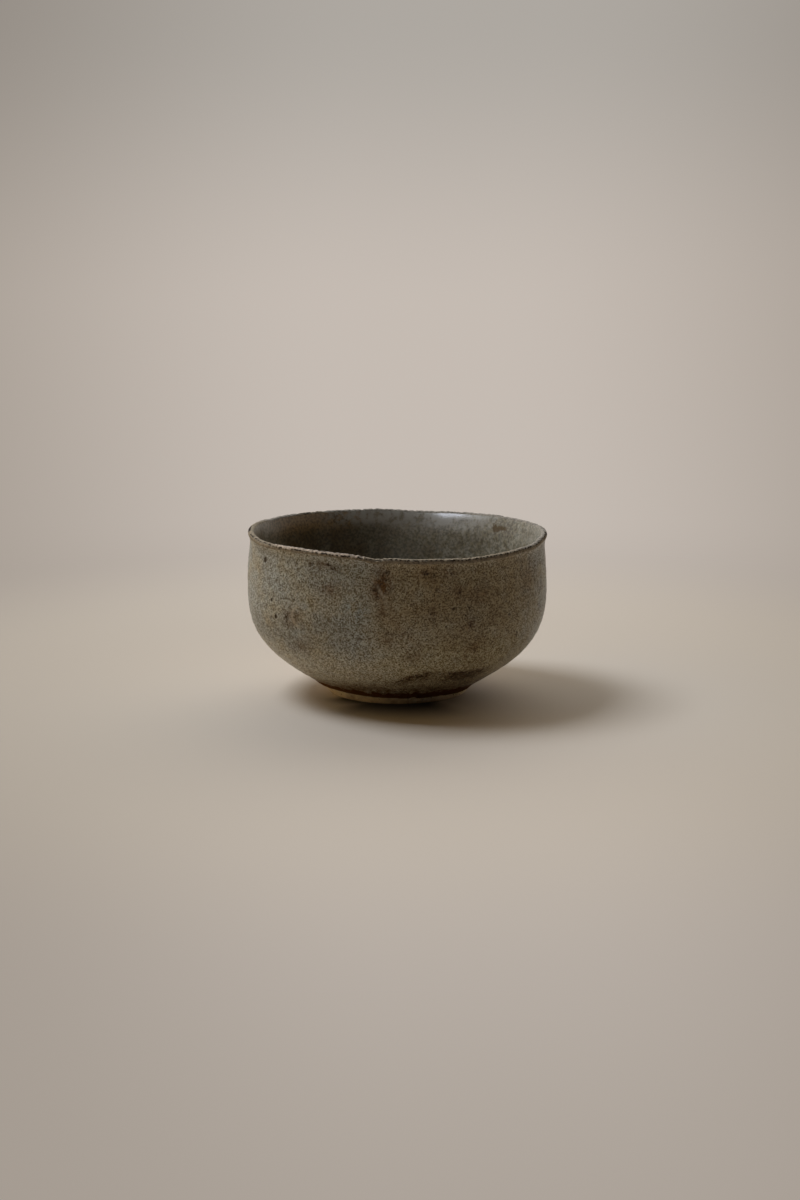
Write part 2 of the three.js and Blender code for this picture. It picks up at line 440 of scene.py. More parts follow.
@dataclass
class Skin:
    """A closed surface of rings of points.

    Attributes:
        points: Array (rings, angles, 3) in millimetres.
        loop: True if the last ring joins the first. False if both end rings shrink to a point.
        marks: Named values between 0 and 1, arrays that fit (rings, angles).
    """

    points: Array
    loop: bool
    marks: Marks

    @classmethod
    def coat(cls, wet: Array, back: Array, loop: bool, marks: Marks) -> "Skin":
        """Skin of a coat, with a wet face and an inner face that lies on the clay.

        Args:
            wet: Points of the wet face.
            back: Points of the inner face.
            loop: True for a coat that starts with its wet face and closes on itself. False for one that
                starts with its inner face and ends, like it, in the middle.
            marks: Marks of the wet face. The inner face has none.

        Returns:
            The skin.
        """
        order = slice(None, None, 1 if loop else -1)
        blank = np.zeros(back.shape[:2])
        whole = {}
        for name, mark in marks.items():
            whole[name] = np.concatenate([np.broadcast_to(mark, wet.shape[:2]), blank][order])
        return cls(np.concatenate([wet, back][order]), loop, whole)

    def _flat(self, values: Array) -> Array:
        """Puts the values of all rings in one list.

        Args:
            values: Array (rings, angles) or (rings, angles, 3).

        Returns:
            Values at the mesh's vertices, with each end ring as one mean value if the skin isn't a loop.
        """
        if self.loop:
            return values.reshape(-1, *values.shape[2:])
        first, last = (values[end].mean(axis=0)[None] for end in (0, -1))
        return np.concatenate([first, values[1:-1].reshape(-1, *values.shape[2:]), last])

    def _corners(self) -> tuple[Array, Array]:
        """Numbers the corners of the faces.

        Returns:
            Vertex numbers of the four-sided faces, and of the three-sided ones at the ends.
        """
        rings, steps = self.points.shape[:2]
        here = np.arange(steps)
        there = np.roll(here, -1)
        if self.loop:
            low = (np.arange(rings) * steps)[:, None]
            high = np.roll(low, -1, axis=0)
            tris = np.zeros((0, 3), dtype=int)
        else:
            low = (1 + np.arange(rings - 3) * steps)[:, None]
            high = low + steps
            top = 1 + (rings - 3) * steps
            first = np.stack([np.zeros(steps, dtype=int), 1 + there, 1 + here], axis=-1)
            last = np.stack([top + here, top + there, np.full(steps, top + steps)], axis=-1)
            tris = np.concatenate([first, last])
        quads = np.stack([low + here, low + there, high + there, high + here], axis=-1)
        return quads.reshape(-1, 4), tris

    def mesh(self, name: str) -> bpy.types.Mesh:
        """Writes the surface as a mesh in metres, smooth but for its sharp edges.

        Args:
            name: Name of the mesh.

        Returns:
            The mesh, with one float attribute for each mark.
        """
        places = self._flat(self.points) * MM
        quads, tris = self._corners()
        corners = np.concatenate([quads.ravel(), tris.ravel()])
        sides = np.concatenate([np.full(len(quads), 4), np.full(len(tris), 3)])
        mesh = bpy.data.meshes.new(name)
        mesh.vertices.add(len(places))
        mesh.vertices.foreach_set("co", places.astype(np.float32).ravel())
        mesh.loops.add(len(corners))
        mesh.loops.foreach_set("vertex_index", corners.astype(np.int32))
        mesh.polygons.add(len(sides))
        starts = np.concatenate([[0], np.cumsum(sides)[:-1]])
        mesh.polygons.foreach_set("loop_start", starts.astype(np.int32))
        mesh.polygons.foreach_set("loop_total", sides.astype(np.int32))
        mesh.update(calc_edges=True)
        mesh.validate()
        mesh.polygons.foreach_set("use_smooth", np.ones(len(sides), dtype=bool))
        mesh.set_sharp_from_angle(angle=SHARP_ANGLE)
        for mark, values in self.marks.items():
            layer = mesh.attributes.new(mark, "FLOAT", "POINT")
            spread = np.broadcast_to(values, self.points.shape[:2])
            layer.data.foreach_set("value", self._flat(spread).astype(np.float32))
        return mesh


class Bench:
    """Lays out and joins the shader nodes of one tree."""

    NOISE_SHIFT: ClassVar[Direction] = (3.7, 1.9, 2.3)
    CELL_SHIFT: ClassVar[Direction] = (2.9, 4.1, 1.3)

    def __init__(self, tree: bpy.types.NodeTree) -> None:
        """Clears the tree to work on.

        Args:
            tree: Nodes of a material or of the world.
        """
        self.tree = tree
        self.tree.nodes.clear()
        self._place: Optional[Socket] = None

    def feed(self, socket: Socket, value: Feed) -> None:
        """Joins a socket to another, or sets its constant.

        Args:
            socket: The input.
            value: An output to join, or a number or colour.
        """
        if isinstance(value, Socket):
            self.tree.links.new(value, socket)
        elif socket.type == "RGBA":
            socket.default_value = (*value, 1.0)
        else:
            socket.default_value = value

    def node(self, kind: str, feeds: Feeds, **settings: object) -> bpy.types.Node:
        """Adds one node.

        Args:
            kind: The node's type.
            feeds: What goes into its inputs, by name or number.
            settings: Properties of the node.

        Returns:
            The node.
        """
        made = self.tree.nodes.new(kind)
        for key, value in settings.items():
            setattr(made, key, value)
        for key, value in feeds.items():
            self.feed(made.inputs[key], value)
        return made

    def place(self) -> Socket:
        """Object coordinates, in metres.

        Returns:
            The output.
        """
        if self._place is None:
            self._place = self.node("ShaderNodeTexCoord", {}).outputs["Object"]
        return self._place

    def mark(self, name: str) -> Socket:
        """Value of a mesh's mark."""
        return self.node("ShaderNodeAttribute", {}, attribute_name=name).outputs["Fac"]

    def _texture(self, kind: str, move: Sequence[float], size: float, feeds: Feeds) -> bpy.types.Node:
        """Texture on the moved object's coordinates, with details of a size in millimetres."""
        moved = self.node("ShaderNodeMapping", {"Vector": self.place(), "Location": move}).outputs["Vector"]
        return self.node(kind, {"Vector": moved, "Scale": MM_PER_METRE / size, **feeds})

    def noise(self, size: float, detail: float, rough: float, seed: float) -> Socket:
        """Soft noise on the object's coordinates, about 0.5 on average.

        Args:
            size: Size of its blotches in millimetres.
            detail: Octaves beyond the first.
            rough: Share of each further octave.
            seed: Moves the noise to another place.

        Returns:
            The output.
        """
        move = [seed * part for part in self.NOISE_SHIFT]
        feeds: Feeds = {"Detail": detail, "Roughness": rough}
        return self._texture("ShaderNodeTexNoise", move, size, feeds).outputs["Fac"]

    def cells(self, size: float, seed: float) -> tuple[Socket, Socket]:
        """Scattered points on the object's coordinates.

        Args:
            size: Mean space between points in millimetres.
            seed: Moves the points to another place.

        Returns:
            Distance from the nearest point as a share of the size, and that point's random colour.
        """
        move = [seed * part for part in self.CELL_SHIFT]
        made = self._texture("ShaderNodeTexVoronoi", move, size, {})
        return made.outputs["Distance"], made.outputs["Color"]

    def span(self, value: Feed, start: float, end: float, low: float = 0.0, high: float = 1.0) -> Socket:
        """Maps start..end smoothly to low..high, clamped."""
        feeds: Feeds = {"Value": value, "From Min": start, "From Max": end, "To Min": low, "To Max": high}
        return self.node("ShaderNodeMapRange", feeds, interpolation_type="SMOOTHSTEP").outputs["Result"]

    def calc(
        self, kind: str, first: Feed, second: Feed = 0.0, third: Feed = 0.0, clamp: bool = False
    ) -> Socket:
        """One arithmetic step of the named kind, held between 0 and 1 if clamped."""
        feeds: Feeds = {0: first, 1: second, 2: third}
        return self.node("ShaderNodeMath", feeds, operation=kind, use_clamp=clamp).outputs["Value"]

    def times(self, first: Feed, second: Feed) -> Socket:
        """Product of two values."""
        return self.calc("MULTIPLY", first, second)

    def most(self, first: Feed, second: Feed) -> Socket:
        """Larger of two values."""
        return self.calc("MAXIMUM", first, second)

    def ragged(self, mark: Feed, bite: Feed, amount: float) -> Socket:
        """A mark with a noise bitten into its outline: mark + amount * (bite - 0.5)."""
        return self.calc("MULTIPLY_ADD", self.calc("SUBTRACT", bite, 0.5), amount, mark)

    def dots(self, size: float, seed: float, reach: Sequence[float], odds: Sequence[float]) -> Socket:
        """Dots on some scattered points: a span over the distance times a span over the point's chance."""
        near, chance = self.cells(size, seed)
        return self.times(self.span(near, *reach), self.span(chance, *odds))

    def tint(self, amount: Feed, under: Feed, over: Feed, blend: str = "MIX") -> Socket:
        """Lays one colour over another by an amount between 0 and 1."""
        feeds: Feeds = {0: amount, 6: under, 7: over}
        return self.node("ShaderNodeMix", feeds, data_type="RGBA", blend_type=blend).outputs[2]

    def shaded(self, colour: Feed, by: Feed) -> Socket:
        """Colour multiplied by a number or by another colour."""
        return self.tint(1.0, colour, by, "MULTIPLY")

    def bump(self, height: Feed, depth: float, below: Optional[Socket] = None) -> Socket:
        """Fine relief as a change of the normal.

        Args:
            height: Height between 0 and 1.
            depth: Real depth of a height of 1 in millimetres.
            below: Normal of a coarser relief to build on.

        Returns:
            The normal.
        """
        feeds: Feeds = {"Height": height, "Distance": depth * MM, "Strength": 1.0}
        if below is not None:
            feeds["Normal"] = below
        return self.node("ShaderNodeBump", feeds).outputs["Normal"]


class Finish:
    """A finish that makes a material of its own."""

    def surface(self, on: Bench) -> Feeds:
        """What goes into the inputs of a Principled surface."""
        raise NotImplementedError

    def shader(self, on: Bench) -> Socket:
        """Principled surface of the finish."""
        return on.node("ShaderNodeBsdfPrincipled", self.surface(on)).outputs["BSDF"]

    def material(self, name: str) -> bpy.types.Material:
        """Makes the material.

        Args:
            name: Name of the material.

        Returns:
            The material.
        """
        made = bpy.data.materials.new(name)
        made.use_nodes = True
        on = Bench(made.node_tree)
        on.node("ShaderNodeOutputMaterial", {"Surface": self.shader(on)})
        return made


class Tint(Enum):
    """What a mark in the glaze shows."""

    RUST = "rust"
    IRON = "iron"
    FROST = "frost"
    PALE = "pale"
    PIT = "pit"


@dataclass(frozen=True)
class Stain:
    """One soft spot in a glaze.

    Its middle has an angle in degrees and a height on the profile. Width and tall are its half sizes in
    millimetres, and lean is its shift round the cup per millimetre of height.
    """

    angle: float
    height: float
    width: float
    tall: float
    strength: float
    lean: float = 0.0

    def over(self, r: Array, angle: Array, z: Array) -> Array:
        """Amount of the stain: strength * exp(-(across / width)^2 - (up / tall)^2).

        Args:
            r: Radius in millimetres.
            angle: Angles in radians.
            z: Height on the profile in millimetres.

        Returns:
            The amount at each point.
        """
        up = z - self.height
        across = apart(angle, self.angle) * r - self.lean * up
        return self.strength * np.exp(-((across / self.width) ** 2) - (up / self.tall) ** 2)


Stains = dict[Tint, tuple[Stain, ...]]


def stained(stains: Stains, r: Array, angle: Array, z: Array) -> Marks:
    """Sums the stains of each tint.

    Args:
        stains: The stains of a glaze.
        r: Radius in millimetres.
        angle: Angles in radians.
        z: Height on the profile in millimetres.

    Returns:
        A mark for each tint, its amount between 0 and 1 at each point.
    """
    marks = {}
    for tint, group in stains.items():
        total = np.zeros(np.broadcast(r, angle, z).shape)
        for stain in group:
            total += stain.over(r, angle, z)
        marks[tint.value] = np.clip(total, 0.0, 1.0)
    return marks


@dataclass(frozen=True)
class Pepper:
    """Dark dots of one size in a glaze.

    Size is their mean space in millimetres, reach their radius as a share of it, and odds the chance
    above which a point has a dot.
    """

    size: float
    reach: float
    odds: float
    strength: float
    seed: float


@dataclass(frozen=True)
class AshGlaze(Finish):
    """Satin ash glaze of the outside: grey over brown, peppered with iron, stained and pinholed.

    It reads the marks warm, thin, umber, rust, iron, frost, pale, pit and burn.
    """

    grey: Colour = (0.262, 0.261, 0.234)
    bisque: Colour = (0.520, 0.455, 0.318)
    tan: Colour = (0.414, 0.358, 0.224)
    umber: Colour = (0.238, 0.181, 0.101)
    iron: Colour = (0.036, 0.018, 0.006)
    rust: Colour = (0.122, 0.062, 0.019)
    frost: Colour = (0.293, 0.325, 0.325)
    spark: Colour = (0.500, 0.445, 0.350)
    pepper: Colour = (0.034, 0.020, 0.007)
    burnt: Colour = (0.110, 0.045, 0.013)
    grain_dark: Colour = (0.525, 0.460, 0.380)
    grain_light: Colour = (1.555, 1.620, 1.700)
    peppers: tuple[Pepper, ...] = (
        Pepper(0.56, 0.44, 0.44, 0.76, 15.0), Pepper(1.3, 0.24, 0.50, 0.66, 16.0),
        Pepper(3.0, 0.13, 0.56, 0.95, 17.0),
    )
    rough: tuple[float, float] = (0.40, 0.56)
    bend: float = 1.5
    satin: float = 0.62
    burnt_satin: float = 0.12
    satin_bend: float = 1.35
    satin_rough: float = 0.30

    def _ground(self, on: Bench, blotch: Socket) -> Socket:
        """Broad clouds of grey, tan and brown, with frosty patches.

        Args:
            on: The material's nodes.
            blotch: Noise of middling size.

        Returns:
            The colour.
        """
        cloud = on.noise(13.0, 4.0, 0.6, 1.0)
        uneven = on.calc("MULTIPLY_ADD", cloud, 1.6, on.calc("MULTIPLY_ADD", blotch, 0.7, -1.15))
        colour = on.tint(on.calc("ADD", on.mark("warm"), uneven, clamp=True), self.grey, self.tan)
        colour = on.tint(on.mark("thin"), colour, self.bisque)
        umber = on.calc("MULTIPLY_ADD", uneven, 1.1, on.mark("umber"), clamp=True)
        colour = on.tint(umber, colour, self.umber)
        frost = on.times(on.mark(Tint.FROST.value), on.span(blotch, 0.35, 0.6))
        return on.tint(frost, colour, self.frost)

    def _stains(self, on: Bench, colour: Socket, bite: Socket) -> Socket:
        """Soft rusty clouds and ragged dark spots.

        Args:
            on: The material's nodes.
            colour: Colour of the ground.
            bite: Fine noise.

        Returns:
            The stained colour.
        """
        soft = on.times(on.mark(Tint.RUST.value), on.span(bite, 0.34, 0.56, 0.2, 1.0))
        colour = on.tint(soft, colour, self.rust)
        spot = on.mark(Tint.IRON.value)
        ragged = on.ragged(spot, on.noise(0.8, 3.0, 0.7, 19.0), 3.2)
        ragged = on.times(ragged, on.span(spot, 0.02, 0.2))
        return on.tint(on.span(ragged, 0.28, 0.78, 0.0, 0.94), colour, self.iron)

    def _speckle(self, on: Bench, colour: Socket, dust: Socket) -> Socket:
        """Fine uneven grain, with dark pepper of three sizes and a few pale crystals.

        Args:
            on: The material's nodes.
            colour: Colour of the stained ground.
            dust: Finest noise.

        Returns:
            The speckled colour.
        """
        grain = on.span(on.cells(0.36, 3.0)[1], 0.15, 0.85)
        colour = on.shaded(colour, on.tint(grain, self.grain_dark, self.grain_light))
        colour = on.shaded(colour, on.span(dust, 0.35, 0.65, 1.04, 0.96))
        for pepper in self.peppers:
            reach = (pepper.reach, pepper.reach * 0.5)
            dot = on.dots(pepper.size, pepper.seed, reach, (pepper.odds, pepper.odds + 0.1))
            colour = on.tint(on.times(dot, pepper.strength), colour, self.pepper)
        spark = on.times(on.span(dust, 0.36, 0.28), 0.5)
        return on.tint(on.most(spark, on.mark(Tint.PALE.value)), colour, self.spark)

    def surface(self, on: Bench) -> Feeds:
        """Ground, stains, speckle, pinholes and the burnt end under a satin coat.

        Args:
            on: The material's nodes.

        Returns:
            What goes into the surface's inputs.
        """
        blotch = on.noise(4.0, 3.0, 0.6, 2.0)
        dust = on.noise(0.95, 2.0, 0.6, 4.0)
        bite = on.noise(1.5, 4.0, 0.65, 5.0)
        colour = self._stains(on, self._ground(on, blotch), bite)
        colour = self._speckle(on, colour, dust)
        hole = on.dots(5.0, 1.0, (0.09, 0.04), (0.62, 0.66))
        hole = on.most(hole, on.span(on.mark(Tint.PIT.value), 0.3, 0.6))
        burn = on.span(on.ragged(on.mark("burn"), bite, 1.1), 0.25, 0.75)
        peel = on.bump(on.noise(2.6, 2.0, 0.5, 6.0), 0.07)
        fine = on.bump(dust, 0.025, peel)
        return {
            "Base Color": on.tint(burn, on.tint(hole, colour, self.pepper), self.burnt),
            "Roughness": on.span(blotch, 0.3, 0.7, *self.rough),
            "IOR": self.bend,
            "Specular IOR Level": 0.0,
            "Normal": on.bump(on.calc("SUBTRACT", 1.0, hole), 0.15, fine),
            "Coat Weight": on.span(burn, 0.0, 1.0, self.satin, self.burnt_satin),
            "Coat IOR": self.satin_bend,
            "Coat Roughness": self.satin_rough,
            "Coat Normal": peel,
        }


@dataclass(frozen=True)
class WellGlaze(Finish):
    """Glossier ash glaze of the inside: mottled greenish grey, brown where it is thin, and partly painted
    shade on the left.

    It reads the marks warm, dry, rust, iron and frost.
    """

    green: Colour = (0.285, 0.278, 0.240)
    moss: Colour = (0.200, 0.182, 0.138)
    brown: Colour = (0.100, 0.070, 0.037)
    fleck: Colour = (0.070, 0.056, 0.038)
    iron: Colour = (0.084, 0.046, 0.007)
    amber: Colour = (0.300, 0.200, 0.100)
    mist: Colour = (0.350, 0.340, 0.322)
    rough: tuple[float, float] = (0.34, 0.50)
    bend: float = 1.52
    gloss_rough: float = 0.19

    def surface(self, on: Bench) -> Feeds:
        """Mottled ground with flecks, mist and brown marks, under a gloss that is lost where it is dry.

        Args:
            on: The material's nodes.

        Returns:
            What goes into the surface's inputs.
        """
        cloud = on.noise(7.0, 4.0, 0.6, 7.0)
        blotch = on.noise(2.2, 3.0, 0.6, 8.0)
        grain = on.noise(0.8, 1.0, 0.5, 9.0)
        bite = on.noise(1.2, 4.0, 0.7, 18.0)
        uneven = on.calc("MULTIPLY_ADD", cloud, 1.7, on.calc("MULTIPLY_ADD", blotch, 0.9, -1.3))
        colour = on.tint(on.span(blotch, 0.40, 0.60), self.moss, self.green)
        colour = on.tint(on.calc("ADD", on.mark("warm"), uneven, clamp=True), colour, self.brown)
        colour = on.tint(on.mark(Tint.RUST.value), colour, self.amber)
        colour = on.shaded(colour, on.span(grain, 0.32, 0.66, 0.66, 1.28))
        fleck = on.dots(1.1, 20.0, (0.34, 0.16), (0.50, 0.60, 0.0, 0.6))
        colour = on.tint(fleck, colour, self.fleck)
        mist = on.times(on.mark(Tint.FROST.value), on.span(blotch, 0.3, 0.56))
        colour = on.tint(mist, colour, self.mist)
        spot = on.span(on.ragged(on.mark(Tint.IRON.value), bite, 2.8), 0.25, 0.85, 0.0, 0.92)
        peel = on.bump(on.noise(3.0, 2.0, 0.5, 10.0), 0.05)
        dry = on.mark("dry")
        return {
            "Base Color": on.tint(spot, colour, self.iron),
            "Roughness": on.span(blotch, 0.3, 0.7, *self.rough),
            "IOR": self.bend,
            "Specular IOR Level": on.span(dry, 0.2, 0.8, 0.5, 0.1),
            "Normal": on.bump(grain, 0.012, peel),
            "Coat Weight": on.span(dry, 0.2, 0.8, 1.0, 0.12),
            "Coat Roughness": self.gloss_rough,
            "Coat Normal": peel,
        }


@dataclass(frozen=True)
class IronWash(Finish):
    """Thin wash on the lip: a broken dark line outside, and a ragged pale crest where it has worn off.

    It reads the marks worn, chalk, film and line.
    """

    dark: Colour = (0.022, 0.012, 0.006)
    # The ash colour is made paler to offset the shade under the flared lip, so it is partly painted light.
    ash: Colour = (0.240, 0.198, 0.142)
    worn: Colour = (0.285, 0.232, 0.168)
    # Colour of the pale layer over the inner face at the back of the lip, partly painted sheen of the flared
    # lip.
    film_and_sheen: Colour = (0.262, 0.236, 0.205)
    chalk: Colour = (0.440, 0.360, 0.290)
    rough: float = 0.6
    shine: float = 0.08

    def surface(self, on: Bench) -> Feeds:
        """Ash with the dark line over it, and the worn crest over both.

        Args:
            on: The material's nodes.

        Returns:
            What goes into the surface's inputs.
        """
        bite = on.noise(0.7, 3.0, 0.65, 11.0)
        broad = on.noise(2.4, 2.0, 0.5, 12.0)
        rough = on.calc("SUBTRACT", on.calc("ADD", bite, broad), 1.0)
        colour = on.shaded(self.ash, on.span(bite, 0.35, 0.65, 0.6, 1.2))
        line = on.span(on.calc("MULTIPLY_ADD", rough, 1.2, on.mark("line")), 0.36, 0.62)
        colour = on.tint(line, colour, self.dark)
        crest = on.span(on.calc("MULTIPLY_ADD", rough, 1.4, on.mark("worn")), 0.36, 0.60)
        pale = on.tint(on.mark("film_and_sheen"), on.tint(on.mark("chalk"), self.worn, self.chalk), self.film_and_sheen)
        pale = on.shaded(pale, on.span(bite, 0.38, 0.55, 0.55, 1.1))
        return {
            "Base Color": on.tint(crest, colour, pale),
            "Roughness": self.rough,
            "Specular IOR Level": self.shine,
            "Normal": on.bump(bite, 0.16),
        }


@dataclass(frozen=True)
class BareClay(Finish):
    """Unglazed sandy stoneware with dark and pale grit. It reads the mark toast, which on the foot also
    carries painted shade.
    """

    sand: Colour = (0.880, 0.760, 0.570)
    toast: Colour = (0.480, 0.385, 0.280)
    grit: Colour = (0.150, 0.105, 0.065)
    quartz: Colour = (0.620, 0.560, 0.470)
    rough: float = 0.88

    def surface(self, on: Bench) -> Feeds:
        """Sandy clouds, toasted in places, with grit of two colours.

        Args:
            on: The material's nodes.

        Returns:
            What goes into the surface's inputs.
        """
        cloud = on.noise(6.0, 3.0, 0.6, 13.0)
        sand = on.noise(0.6, 3.0, 0.65, 14.0)
        colour = on.tint(on.span(cloud, 0.45, 0.75), self.sand, self.toast)
        colour = on.tint(on.mark("toast"), colour, self.toast)
        near, chance = on.cells(1.3, 2.0)
        dot = on.span(near, 0.22, 0.12)
        colour = on.tint(on.times(dot, on.span(chance, 0.60, 0.66)), colour, self.grit)
        colour = on.tint(on.times(dot, on.span(chance, 0.40, 0.34)), colour, self.quartz)
        return {
            "Base Color": on.tint(on.span(sand, 0.42, 0.28), colour, self.toast),
            "Roughness": self.rough,
            "Normal": on.bump(sand, 0.16, on.bump(cloud, 0.1)),
        }


@dataclass(frozen=True)
class Piece:
    """One part of the cup: a mesh on the form that all pieces share, with a finish."""

    name: ClassVar[str] = ""
    node: ClassVar[str] = ""
    slot: ClassVar[str] = ""
    finish: ClassVar[Finish] = Finish()
    finish_name: ClassVar[str] = ""
    form: WheelForm

    def skin(self) -> Skin:
        """Shapes the piece as a closed surface."""
        raise NotImplementedError

    def build(self) -> bpy.types.Object:
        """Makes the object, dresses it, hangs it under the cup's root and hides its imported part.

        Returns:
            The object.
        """
        mesh = self.skin().mesh(self.name)
        mesh.materials.append(self.finish.material(self.finish_name))
        made = bpy.data.objects.new(self.name, mesh)
        bpy.context.scene.collection.objects.link(made)
        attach(made, "root")
        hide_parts(self.node)
        return made


@dataclass(frozen=True)
class GlazeEdge:
    """Lower end of the outside glaze, a ragged rolled edge with a bare notch.

    Lengths are in millimetres. Wander is the height of its small waves, nose the length over which it
    rounds off, roll an extra share of thickness, and hang how far it sags over the foot.
    """

    wander: float = 0.16
    lowest: float = 0.12
    notch_angle: float = -79.0
    notch_width: float = 0.8
    notch_depth: float = 1.1
    nose: float = 0.45
    roll: float = 0.45
    roll_width: float = 0.9
    hang: float = 0.2
    hang_full: float = 0.3
    hang_gone: float = 3.2
    grain: Grain = Grain(23, 14, (9, 60), (20.0, 40.0))

    def start(self, form: WheelForm, angle: Array) -> Array:
        """Where the glaze ends along the outside curve.

        Args:
            form: The cup's form.
            angle: Angles in radians.

        Returns:
            Lengths from the neck in millimetres, never below it.
        """
        notch = bell(apart(angle, self.notch_angle) * form.neck_radius, self.notch_width, 4.0)
        waves = self.wander * self.grain.at(angle)
        return np.maximum(form.bare_band + waves, self.lowest) + self.notch_depth * notch

    def thickness(self, up: Array) -> Array:
        """Share of the full thickness above the end: a quarter ellipse over the nose, times a fading roll."""
        nose = np.sqrt(1.0 - (1.0 - np.clip(up / self.nose, 0.0, 1.0)) ** 2)
        return nose * (1.0 + self.roll * bell(up - self.roll_width, self.roll_width))

    def sag(self, up: Array) -> Array:
        """How far the glaze hangs down in millimetres: nothing at its end, hang above it, then nothing."""
        return self.hang * within(up, 0.0, self.hang_full, self.hang_full, self.hang_gone)


OUTSIDE_STAINS: Stains = {
    Tint.RUST: (
        Stain(-95.3, 42.2, 3.0, 4.6, 0.85), Stain(-96.8, 39.2, 2.2, 2.8, 0.8),
        Stain(-94.8, 33.8, 2.0, 2.4, 0.55), Stain(-93.6, 24.2, 2.2, 2.0, 0.45),
        Stain(-115.2, 38.0, 3.2, 2.0, 0.65), Stain(-118.5, 44.9, 3.6, 1.0, 0.55),
        Stain(-132.5, 28.4, 3.6, 3.2, 0.60), Stain(-130.0, 20.2, 2.6, 1.8, 0.55),
        Stain(-79.5, 44.6, 2.2, 1.8, 0.60), Stain(-70.0, 44.9, 2.2, 2.2, 0.60),
        Stain(-58.1, 36.9, 3.6, 3.4, 0.55), Stain(-66.5, 38.7, 2.2, 2.0, 0.45),
        Stain(-62.6, 28.8, 2.6, 2.4, 0.60), Stain(-77.5, 33.0, 2.6, 2.4, 0.45),
        Stain(-87.0, 26.6, 1.6, 3.6, 0.50, -1.1), Stain(-83.5, 19.3, 3.0, 2.2, 0.60),
        Stain(-59.9, 21.4, 3.2, 2.6, 0.65), Stain(-30.0, 40.0, 5.0, 6.0, 0.45),
        Stain(25.0, 36.0, 6.0, 5.0, 0.65), Stain(70.0, 42.0, 3.0, 4.0, 0.75),
        Stain(78.0, 25.0, 5.0, 4.0, 0.65), Stain(120.0, 34.0, 4.0, 6.0, 0.65),
        Stain(165.0, 30.0, 5.0, 4.0, 0.60),
    ),
    Tint.IRON: (
        Stain(-94.4, 44.6, 1.3, 1.8, 0.42), Stain(-95.2, 42.2, 1.6, 1.2, 0.58),
        Stain(-96.9, 39.4, 1.3, 1.7, 1.0), Stain(-122.9, 44.5, 0.85, 0.65, 1.0),
        Stain(-116.0, 45.1, 1.01, 0.56, 0.88), Stain(-113.9, 44.1, 0.56, 1.01, 0.78, 0.5),
        Stain(-115.5, 37.6, 1.12, 0.78, 0.63), Stain(-135.3, 28.2, 0.90, 2.02, 0.68),
        Stain(-131.0, 29.6, 0.9, 1.2, 0.50), Stain(-79.5, 44.8, 0.90, 0.78, 0.93),
        Stain(-70.0, 44.9, 1.12, 1.12, 0.60), Stain(-66.5, 38.7, 1.12, 1.01, 0.48),
        Stain(-69.1, 33.7, 0.67, 0.67, 0.78), Stain(-63.0, 34.0, 0.67, 0.67, 0.78),
        Stain(-62.6, 28.8, 1.01, 0.90, 0.93), Stain(-77.5, 33.0, 1.01, 0.90, 0.42),
        Stain(-37.8, 22.8, 0.67, 0.67, 0.78), Stain(24.0, 36.5, 1.57, 2.02, 0.78),
        Stain(71.0, 42.6, 1.12, 1.57, 0.88), Stain(121.0, 33.0, 1.34, 2.24, 0.78),
    ),
    Tint.FROST: (
        Stain(-105.5, 32.6, 5.0, 4.6, 1.0), Stain(-122.0, 41.0, 7.0, 5.0, 0.45),
        Stain(-129.5, 23.9, 3.4, 1.5, 0.9), Stain(-104.0, 44.5, 3.5, 2.5, 0.5),
        Stain(-140.0, 36.0, 7.0, 6.0, 0.35), Stain(-88.0, 24.0, 6.0, 4.0, 0.25),
        Stain(45.0, 28.0, 8.0, 6.0, 0.6), Stain(100.0, 38.0, 7.0, 5.0, 0.6),
        Stain(150.0, 24.0, 8.0, 5.0, 0.6),
    ),
    Tint.PALE: (
        Stain(-95.9, 38.6, 0.38, 2.4, 0.8, -0.5), Stain(-129.5, 36.4, 0.30, 1.1, 0.40, 0.9),
        Stain(-129.3, 23.6, 0.9, 0.7, 0.35),
    ),
    Tint.PIT: (
        Stain(-149.8, 43.3, 0.95, 1.05, 1.0), Stain(-149.8, 37.1, 0.35, 0.4, 0.7),
        Stain(-144.2, 32.1, 0.62, 0.69, 0.9), Stain(-147.9, 29.4, 0.35, 0.4, 0.8),
        Stain(-141.8, 27.6, 0.75, 0.75, 0.95), Stain(-147.4, 23.1, 0.4, 0.4, 0.7),
        Stain(33.0, 41.0, 0.62, 0.62, 0.9), Stain(110.0, 27.0, 0.62, 0.62, 0.9),
    ),
}


